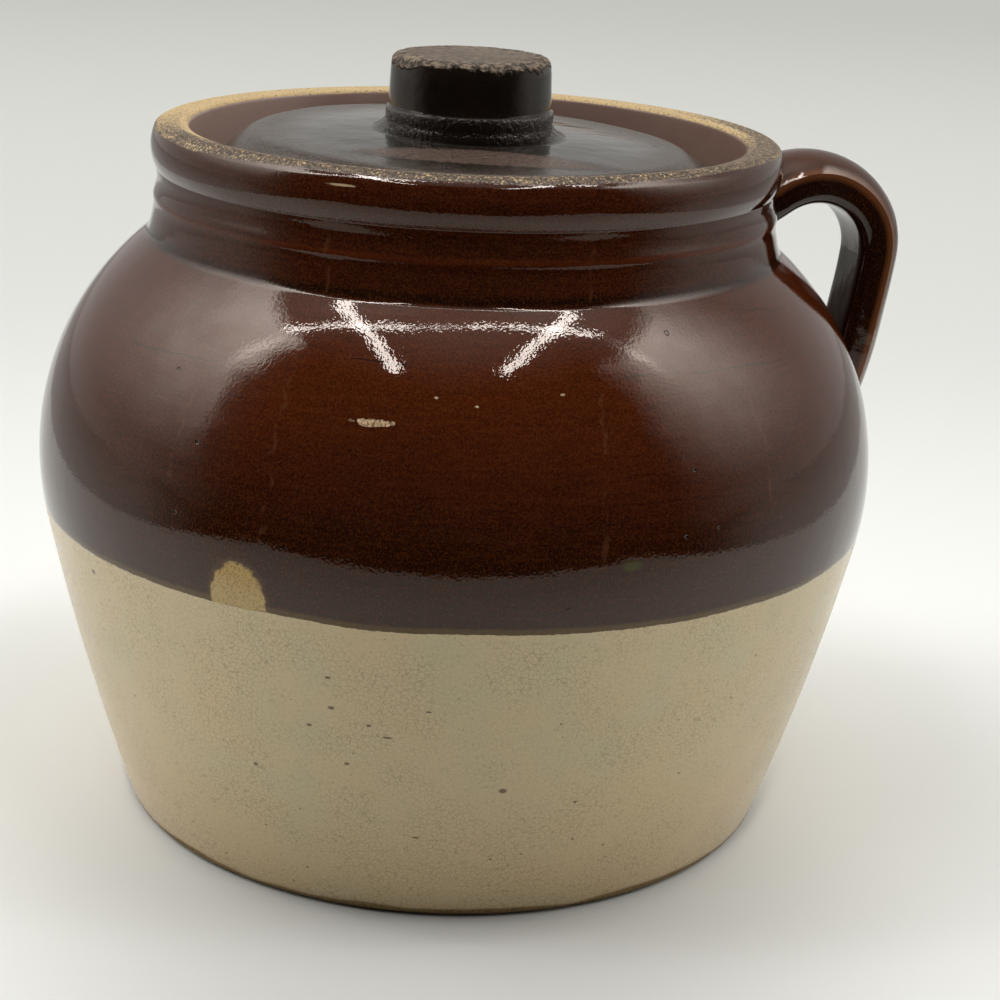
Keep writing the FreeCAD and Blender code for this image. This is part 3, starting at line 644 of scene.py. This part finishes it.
def hand_turned(bm):
    """The wheel's and the hand's unevenness: the wall wanders inwards a little, a soft ridge runs
    round the neck, and the lip stands a little higher at the front."""
    for vert in bm.verts:
        x, y, z = vert.co
        radius = math.hypot(x, y)
        if radius < 20.0 * MM:
            continue
        slow, quick = Vector((x * 9.0, y * 9.0, z * 14.0)), Vector((x, y, z * 3.0)) * 22.0
        squeeze = WANDER * (0.5 + 0.5 * (noise.noise(slow) + 0.4 * noise.noise(quick)))
        if radius > GALLERY_RADIUS + 4.0 * MM and CREASE_HEIGHT < z < GROOVE_HEIGHT + 3.0 * MM:
            off = z - NECK_RIDGE_HEIGHT - noise.noise(Vector((x * 30.0, y * 30.0, 2.0))) * 0.9 * MM
            squeeze -= NECK_RIDGE * math.exp(-((off - 0.1 * MM) / (1.5 * MM)) ** 2)
            squeeze += NECK_DIP * math.exp(-((off - 4.5 * MM) / (1.3 * MM)) ** 2)
        vert.co.x -= x / radius * squeeze
        vert.co.y -= y / radius * squeeze
        if z > POT_HEIGHT - 2.5 * MM:
            front = smooth_step(-from_sight(x, y)[1] / radius, -0.25, 0.85)
            inner_edge = 0.25 + 0.75 * smooth_step(radius, 76.5 * MM, 82.0 * MM)
            crest = smooth_step(radius, 85.6 * MM, 82.6 * MM) * inner_edge
            upper = smooth_step(z, POT_HEIGHT - 2.5 * MM, POT_HEIGHT - 0.5 * MM)
            vert.co.z += (LIP_RISE * front + 0.1 * MM) * crest * upper


def make_pot(materials):
    bm = pot_outline().turned(288)
    for face in bm.faces:
        centre = face.calc_center_median()
        within = math.hypot(centre.x, centre.y) < GALLERY_RADIUS + 0.5 * MM
        faces_in = face.normal.dot(Vector((centre.x, centre.y, 0.0))) < 0
        face.material_index = 1 if centre.z > FLOOR / 2 and (within or faces_in) else 0
    hand_turned(bm)
    return piece("pot", bm, "pot", materials)


def make_lid(material):
    ceiling = LID_TURN_HEIGHT - LID_WALL
    edge_top = LEDGE_HEIGHT + LID_EDGE
    run = (LID_RADIUS - LID_TURN_RADIUS) / (LID_TURN_HEIGHT - edge_top)
    out = Turning(0.0, ceiling)
    inner = LID_RADIUS - LID_SEAT_WIDTH
    out.line(inner - run * (ceiling - LEDGE_HEIGHT), ceiling, 4)
    out.line(inner, LEDGE_HEIGHT, 3)
    out.line(LID_RADIUS - 0.4 * MM, LEDGE_HEIGHT, 2)
    out.line(LID_RADIUS, LEDGE_HEIGHT + 0.4 * MM)
    out.line(LID_RADIUS, edge_top - 1.2 * MM, 2)
    out.line(LID_RADIUS - 1.2 * MM, edge_top + 0.5 * MM)
    corner = Vector((LID_TURN_RADIUS, LID_TURN_HEIGHT))
    down = (Vector(out.at()) - corner).normalized()
    inwards = (Vector((COLLAR_RADIUS + 6.0 * MM, LID_TOP_HEIGHT)) - corner).normalized()
    reach = LID_TURN / math.tan(down.angle(inwards) / 2)
    begin, end = corner + down * reach, corner + inwards * reach
    out.line(begin.x, begin.y, 6)
    out.arc(begin + Vector((down.y, -down.x)) * LID_TURN, end, 10)
    out.line(COLLAR_RADIUS + 6.0 * MM, LID_TOP_HEIGHT, 12)
    out.line(COLLAR_RADIUS - 1.5 * MM, LID_TOP_HEIGHT, 14)
    out.line(0.0, LID_TOP_HEIGHT, 3)
    bm = out.turned(192)
    for vert in bm.verts:
        x, y, z = vert.co
        radius = math.hypot(x, y)
        if z < LID_TURN_HEIGHT - LID_WALL + 1.0 * MM or radius > LID_RADIUS - 1.5 * MM:
            continue
        right, ahead = from_sight(x, y)
        hold = smooth_step(radius, LID_RADIUS - 1.5 * MM, LID_TURN_RADIUS)
        slump = noise.noise(Vector((x * 26.0, y * 26.0, 5.0))) * LID_SLUMP
        crown = smooth_step(radius, 54.0 * MM, 26.0 * MM) * LID_CROWN
        vert.co.z += hold * (slump + crown - right * LID_TILT)
        behind = smooth_step(ahead / max(radius, MM), -0.75, 0.35)
        near = max(0.0, 1.0 - max(0.0, radius - COLLAR_RADIUS + 0.3 * MM) / GLAZE_FILLET_REACH)
        vert.co.z += GLAZE_FILLET * behind * near ** 2.6
    return piece("lid", bm, "lid", [material])


def make_knob(material):
    out = Turning(0.0, LID_TOP_HEIGHT)
    out.line(COLLAR_RADIUS, LID_TOP_HEIGHT, 3)
    across = math.sqrt(BEAD_ROUND ** 2 - (BEAD / 2) ** 2) + 0.15 * MM
    for bead in range(2):
        low = LID_TOP_HEIGHT + bead * BEAD
        out.arc((COLLAR_RADIUS - across, low + BEAD / 2), (COLLAR_RADIUS, low + BEAD), 6)
    out.line(WAIST_RADIUS, LID_TOP_HEIGHT + 2 * BEAD + 0.3 * MM)
    out.line(KNOB_TOP_RADIUS, KNOB_TOP - KNOB_ROUND, 6)
    flat_radius = KNOB_TOP_RADIUS - KNOB_ROUND
    out.arc((flat_radius, KNOB_TOP - KNOB_ROUND), (flat_radius, KNOB_TOP), 6)
    out.line(0.0, KNOB_TOP, 5)
    bm = out.turned(160)
    for vert in bm.verts:
        x, y, z = vert.co
        radius = math.hypot(x, y)
        if radius < 4.0 * MM:
            continue
        lump = noise.noise(Vector((x * 60.0, y * 60.0, z * 90.0))) * 0.5 + noise.noise(vert.co * 260.0) * 0.30
        top = smooth_step(z, KNOB_TOP - 4.0 * MM, KNOB_TOP - 1.0 * MM)
        collar = smooth_step(z, LID_TOP_HEIGHT + 8.0 * MM, LID_TOP_HEIGHT + 6.0 * MM)
        inwards = (0.25 + 0.5 * lump) * (0.25 + 0.55 * top + 0.35 * collar) * MM
        vert.co.x -= x / radius * inwards
        vert.co.y -= y / radius * inwards
        right, ahead = from_sight(x, y)
        fold = math.exp(-((ahead + 7.0 * MM - (right - 12.0 * MM) * 0.55) / (1.6 * MM)) ** 2)
        fold *= smooth_step(right, 2.0 * MM, 9.0 * MM) * top
        rough = noise.noise(vert.co * 700.0) * 0.16 * MM * smooth_step(radius, 12.0 * MM, 19.0 * MM) * top
        vert.co.z -= 0.9 * MM * fold + max(0.0, 0.20 * MM * top + rough)
    return piece("knob", bm, "lid", [material])


def strap_section():
    """Round the strap: (across, up) places, from its crowned outside to its flat inside and back."""
    half, side = HANDLE_THICKNESS / 2, HANDLE_WIDTH / 2
    shoulder, corner = half - HANDLE_CROWN, HANDLE_CORNER
    crown_round = (side ** 2 + HANDLE_CROWN ** 2) / (2 * HANDLE_CROWN)
    spread = math.asin(side / crown_round)
    points = []
    for step in range(17):
        angle = spread * (1 - step / 8)
        points.append((crown_round * math.sin(angle), half - crown_round + crown_round * math.cos(angle)))
    for step in range(1, 4):
        points.append((-side, shoulder - (shoulder + half - corner) * step / 4))
    for step in range(7):
        angle = math.pi + math.pi / 2 * step / 6
        points.append((-side + corner + corner * math.cos(angle), -half + corner + corner * math.sin(angle)))
    for step in range(1, 8):
        points.append((-side + corner + (2 * side - 2 * corner) * step / 8, -half))
    for step in range(7):
        angle = -math.pi / 2 + math.pi / 2 * step / 6
        points.append((side - corner + corner * math.cos(angle), -half + corner + corner * math.sin(angle)))
    for step in range(3, 0, -1):
        points.append((side, shoulder - (shoulder + half - corner) * step / 4))
    return points


def settle_handle(bm, bend_centre):
    """Spread the roots, draw the lower loop in, and keep both ends within the pot's wall."""
    half = HANDLE_THICKNESS / 2
    for vert in bm.verts:
        x, y, z = vert.co
        upper = smooth_step(x, 120.0 * MM, 86.0 * MM) if z > 150.0 * MM else 0.0
        lower = smooth_step(z, 120.0 * MM, 86.0 * MM) if z < 150.0 * MM else 0.0
        vert.co.y *= 1.0 + HANDLE_ROOT_SPREAD * upper + HANDLE_FOOT_SPREAD * lower
        if upper:
            middle = HANDLE_TOP - half - (bend_centre.x - x) * math.tan(HANDLE_RISE) * 0.6
            vert.co.z = middle + (z - middle) * (1.0 + 0.06 * upper)
        drawn = smooth_step(z, 172.0 * MM, 135.0 * MM) * smooth_step(x, 94.0 * MM, 114.0 * MM)
        vert.co.x -= HANDLE_DRAWN_IN * drawn
        hand = noise.noise(Vector((x * 40.0, y * 40.0, z * 40.0))) * 0.175 * MM
        vert.co -= vert.normal * (0.15 * MM + hand)
        radius, inmost = math.hypot(vert.co.x, vert.co.y), outside_radius(vert.co.z) - HANDLE_INSET
        if radius < inmost:
            vert.co.x *= inmost / radius
            vert.co.y *= inmost / radius


def make_handle(material):
    """A strap that leaves the neck rising, bends over and sweeps down to the belly."""
    half, side = HANDLE_THICKNESS / 2, HANDLE_WIDTH / 2
    shoulder = half - HANDLE_CROWN
    bend_centre = Vector((HANDLE_REACH - half - HANDLE_BEND, 0.0, HANDLE_TOP - half - HANDLE_BEND))
    sweep_centre = bend_centre + Vector((HANDLE_BEND - HANDLE_SWEEP, 0.0, 0.0))
    along = Vector((math.cos(HANDLE_RISE), 0.0, math.sin(HANDLE_RISE)))
    outward = Vector((-math.sin(HANDLE_RISE), 0.0, math.cos(HANDLE_RISE)))
    leave = bend_centre + outward * HANDLE_BEND
    root_length, root_steps = (leave.x - HANDLE_ROOT_RADIUS) / along.x, 14
    root = leave - along * root_length

    bm = bmesh.new()
    arris_layer = bm.verts.layers.float.new("arris")
    crown_layer = bm.verts.layers.float.new("crown")
    ring = []
    for across, up in strap_section():
        vert = bm.verts.new(root + outward * up + Vector((0.0, across, 0.0)))
        from_arris = (abs(across) - side) ** 2 + (up - shoulder) ** 2
        vert[arris_layer] = math.exp(-from_arris / (1.9 * MM) ** 2)
        vert[crown_layer] = smooth_step(up, shoulder + 0.2 * MM, shoulder + 2.4 * MM)
        ring.append(vert)
    edges = list(bm.faces.new(ring).edges)
    for _ in range(root_steps):
        made = bmesh.ops.extrude_edge_only(bm, edges=edges)["geom"]
        verts = [item for item in made if isinstance(item, bmesh.types.BMVert)]
        edges = [item for item in made if isinstance(item, bmesh.types.BMEdge)]
        bmesh.ops.translate(bm, vec=along * root_length / root_steps, verts=verts)
    over = math.pi / 2 + HANDLE_RISE
    down = math.asin((bend_centre.z - HANDLE_FOOT_HEIGHT) / HANDLE_SWEEP)
    for centre, angle in ((bend_centre, over), (sweep_centre, down)):
        made = bmesh.ops.spin(bm, geom=verts + edges, cent=centre, axis=(0.0, 1.0, 0.0),
                              dvec=(0.0, 0.0, 0.0), angle=angle, steps=40)["geom_last"]
        verts = [item for item in made if isinstance(item, bmesh.types.BMVert)]
        edges = [item for item in made if isinstance(item, bmesh.types.BMEdge)]
    bmesh.ops.contextual_create(bm, geom=edges)
    bmesh.ops.remove_doubles(bm, verts=bm.verts[:], dist=0.002 * MM)
    bmesh.ops.recalc_face_normals(bm, faces=bm.faces[:])
    settle_handle(bm, bend_centre)
    return piece("handle", bm, "pot", [material])


# The stage: a pale floor, a light tent's glow, and strips of light above.

def make_floor():
    """A pale sheet, with painted shade and a painted shadow in its colour. Reflections see its edges and the
    dark room in front of it, as they would in a tent.
    """
    bm = bmesh.new()
    bmesh.ops.create_circle(bm, cap_ends=True, segments=128, radius=3.6)
    mesh = bpy.data.meshes.new("floor")
    bm.to_mesh(mesh)
    bm.free()
    floor = bpy.data.objects.new("floor", mesh)
    bpy.context.scene.collection.objects.link(floor)
    material, board = finish_board("pale_floor")
    x, y, _ = board.axes(board.place())
    right, ahead = from_sight(x, y)
    sheet = board.ease(abs(right), 0.475, 0.465) * board.ease(ahead, -0.475, -0.465)
    cut_corner = board.ease(right + ahead * -0.45, -0.40, -0.385)
    sheet = sheet * cut_corner.most(board.ease(ahead, -0.20, -0.15))
    turn = abs(right.maths("ARCTAN2", ahead)) * DEGREES
    beyond = board.ease(turn, 124.0, 92.0) * 0.62
    is_glossy = board.node("ShaderNodeLightPath", None, None, "Is Glossy Ray")
    shown = 1.0 - is_glossy * (1.0 - sheet.most(beyond))
    # Painted shade: the floor's colour is graded to stand in for how its light falls. It is darker in a band
    # in front of the pot and far behind it, and paler round the pot and behind the camera.
    near = board.mix(board.ease(ahead, -0.42, -0.10), (0.53, 0.54, 0.52), (0.86, 0.87, 0.855))
    near = board.mix(board.ease(ahead, 0.15, 0.60), near, (0.77, 0.78, 0.765))
    near = board.mix(board.ease(ahead, -0.85, -0.50), (0.80, 0.81, 0.795), near)
    colour = board.mix(board.ease(ahead, 0.9, 2.6), near, (0.62, 0.63, 0.61))
    # Painted shadow: a soft dark spot on the floor just in front of the pot's foot.
    ahead_of_shade = ahead + 0.13
    shade = board.ease((right * right + ahead_of_shade * ahead_of_shade) ** 0.5, 0.16, 0.02) * 0.34
    colour = board.scale(colour, shown * (1.0 - shade))
    surface = board.node("ShaderNodeBsdfDiffuse", None, {"Color": colour})
    board.node("ShaderNodeOutputMaterial", None, {"Surface": surface}, ())
    mesh.materials.append(material)


def make_world():
    """The tent's sides glow, the room in front of it is dark, and the background is pale."""
    world = bpy.data.worlds.new("tent")
    bpy.context.scene.world = world
    world.use_nodes = True
    board = Board(world.node_tree)
    x, y, z = board.axes(board.node("ShaderNodeTexCoord", None, None, "Generated"))
    right, ahead = from_sight(x, y)
    turn = right.maths("ARCTAN2", ahead) * DEGREES
    rise = z.maths("ARCSINE") * DEGREES
    walls = board.ease(abs(turn), 124.0, 84.0) * 0.61
    roof = board.ease(rise, 52.0, 84.0) * 0.85
    uneven = board.grain(board.vector(x, y, z), 7.0, 3.0, 0.6)
    climb = (rise.most(5.5) - 5.0) / 45.0
    climb = climb ** 1.4 * board.ease(rise + (uneven - 0.5) * 8.0, 57.5, 53.5)
    left = board.ease(turn + (uneven - 0.5) * 14.0, -111.0, -101.0) * board.ease(turn, -30.0, -92.0)
    right_side = board.ease(turn + (uneven - 0.5) * 16.0, 124.0, 94.0) * board.ease(turn, 52.0, 90.0)
    patches = (left * 5.8 + right_side * 5.2) * climb * (0.60 + uneven * 0.8)

    def glint(bearing, height, width, tall, lean, power):
        across = (turn - bearing - (rise - height) * lean) / width
        up = (rise - height) / tall
        return ((across * across + up * up) * -1.0).maths("EXPONENT") * power

    glints = glint(-97.5, 47.0, 2.4, 8.0, -0.12, 5.0) + glint(99.5, 52.0, 1.8, 6.5, -0.05, 5.5)
    light = (walls + roof + patches + glints) * 0.88 + 0.012
    seen = board.node("ShaderNodeLightPath", None, None, "Is Camera Ray")
    colour = board.mix(seen, board.scale((1.0, 0.985, 0.95), light), (0.60, 0.61, 0.58))
    surface = board.node("ShaderNodeBackground", None, {"Color": colour, "Strength": 1.0})
    board.node("ShaderNodeOutputWorld", None, {"Surface": surface}, ())


STRIP_REACH, STRIP_RADIANCE = 0.75, 19.5
STRIPS = (  # name, start and end in parts of the reach from the shoulder's shine, width
    ("strip_across_left", (-0.725, -0.038, -0.05), (-0.213, -0.166, 0.0), 0.020),
    ("strip_across_middle", (-0.213, -0.166, 0.0), (0.030, -0.153, 0.0), 0.009),
    ("strip_across_right", (0.030, -0.153, 0.0), (0.558, -0.052, 0.0), 0.020),
    ("strip_left", (-0.448, 0.121, 0.0), (-0.298, -0.527, 0.0), 0.035),
    ("strip_right", (0.406, 0.049, 0.0), (0.205, -0.545, 0.0), 0.035))


def sighted(right, ahead, height):
    """A place given as seen from the camera's side: to its right, away from it, and up."""
    return Matrix.Rotation(SIGHT_TURN, 4, "Z") @ Vector((right, ahead, height))


def strip_light(name, start, end, width, target):
    """A long lamp between two places, facing the target, and not itself in the picture."""
    start, end = sighted(*start), sighted(*end)
    length = (end - start).length
    data = bpy.data.lights.new(name, "AREA")
    data.shape = "RECTANGLE"
    data.size, data.size_y = length, width
    data.energy = STRIP_RADIANCE * math.pi * length * width
    lamp = bpy.data.objects.new(name, data)
    middle = (start + end) / 2
    along = (end - start).normalized()
    back = (middle - target).normalized()
    across = back.cross(along).normalized()
    facing = Matrix((along, across, along.cross(across))).transposed()
    lamp.matrix_world = Matrix.Translation(middle) @ facing.to_4x4()
    lamp.visible_camera = False
    bpy.context.scene.collection.objects.link(lamp)


def make_lights():
    """Five strips over the pot: places are as far out as their glints on the shoulder ask for."""
    shine = Vector((0.0, -0.095, 0.157))
    for name, start, end, width in STRIPS:
        ends = []
        for right, ahead, up in (start, end):
            ends.append(Vector((right, ahead, 1.0 + up)) * STRIP_REACH + shine)
        strip_light(name, ends[0], ends[1], width, sighted(*shine))


def make_camera():
    data = bpy.data.cameras.new("camera")
    data.sensor_width, data.lens = 36.0, 78.03
    data.clip_start, data.clip_end = 0.01, 30.0
    camera = bpy.data.objects.new("camera", data)
    yaw, pitch, roll = math.radians(1.287), math.radians(18.356), math.radians(2.769)
    aim = Matrix.Rotation(SIGHT_TURN - yaw, 4, "Z") @ Matrix.Rotation(math.pi / 2 - pitch, 4, "X")
    stand = Matrix.Translation(sighted(0.0, -0.59724, 0.28297))
    camera.matrix_world = stand @ aim @ Matrix.Rotation(roll, 4, "Z")
    bpy.context.scene.collection.objects.link(camera)
    bpy.context.scene.camera = camera


make_camera()
make_world()
make_lights()
make_floor()
lid_finish = lid_glaze()
make_pot([pot_glaze(), gallery_glaze()])
make_handle(handle_glaze())
make_lid(lid_finish)
make_knob(lid_finish)
bpy.context.scene.view_settings.view_transform = "Standard"
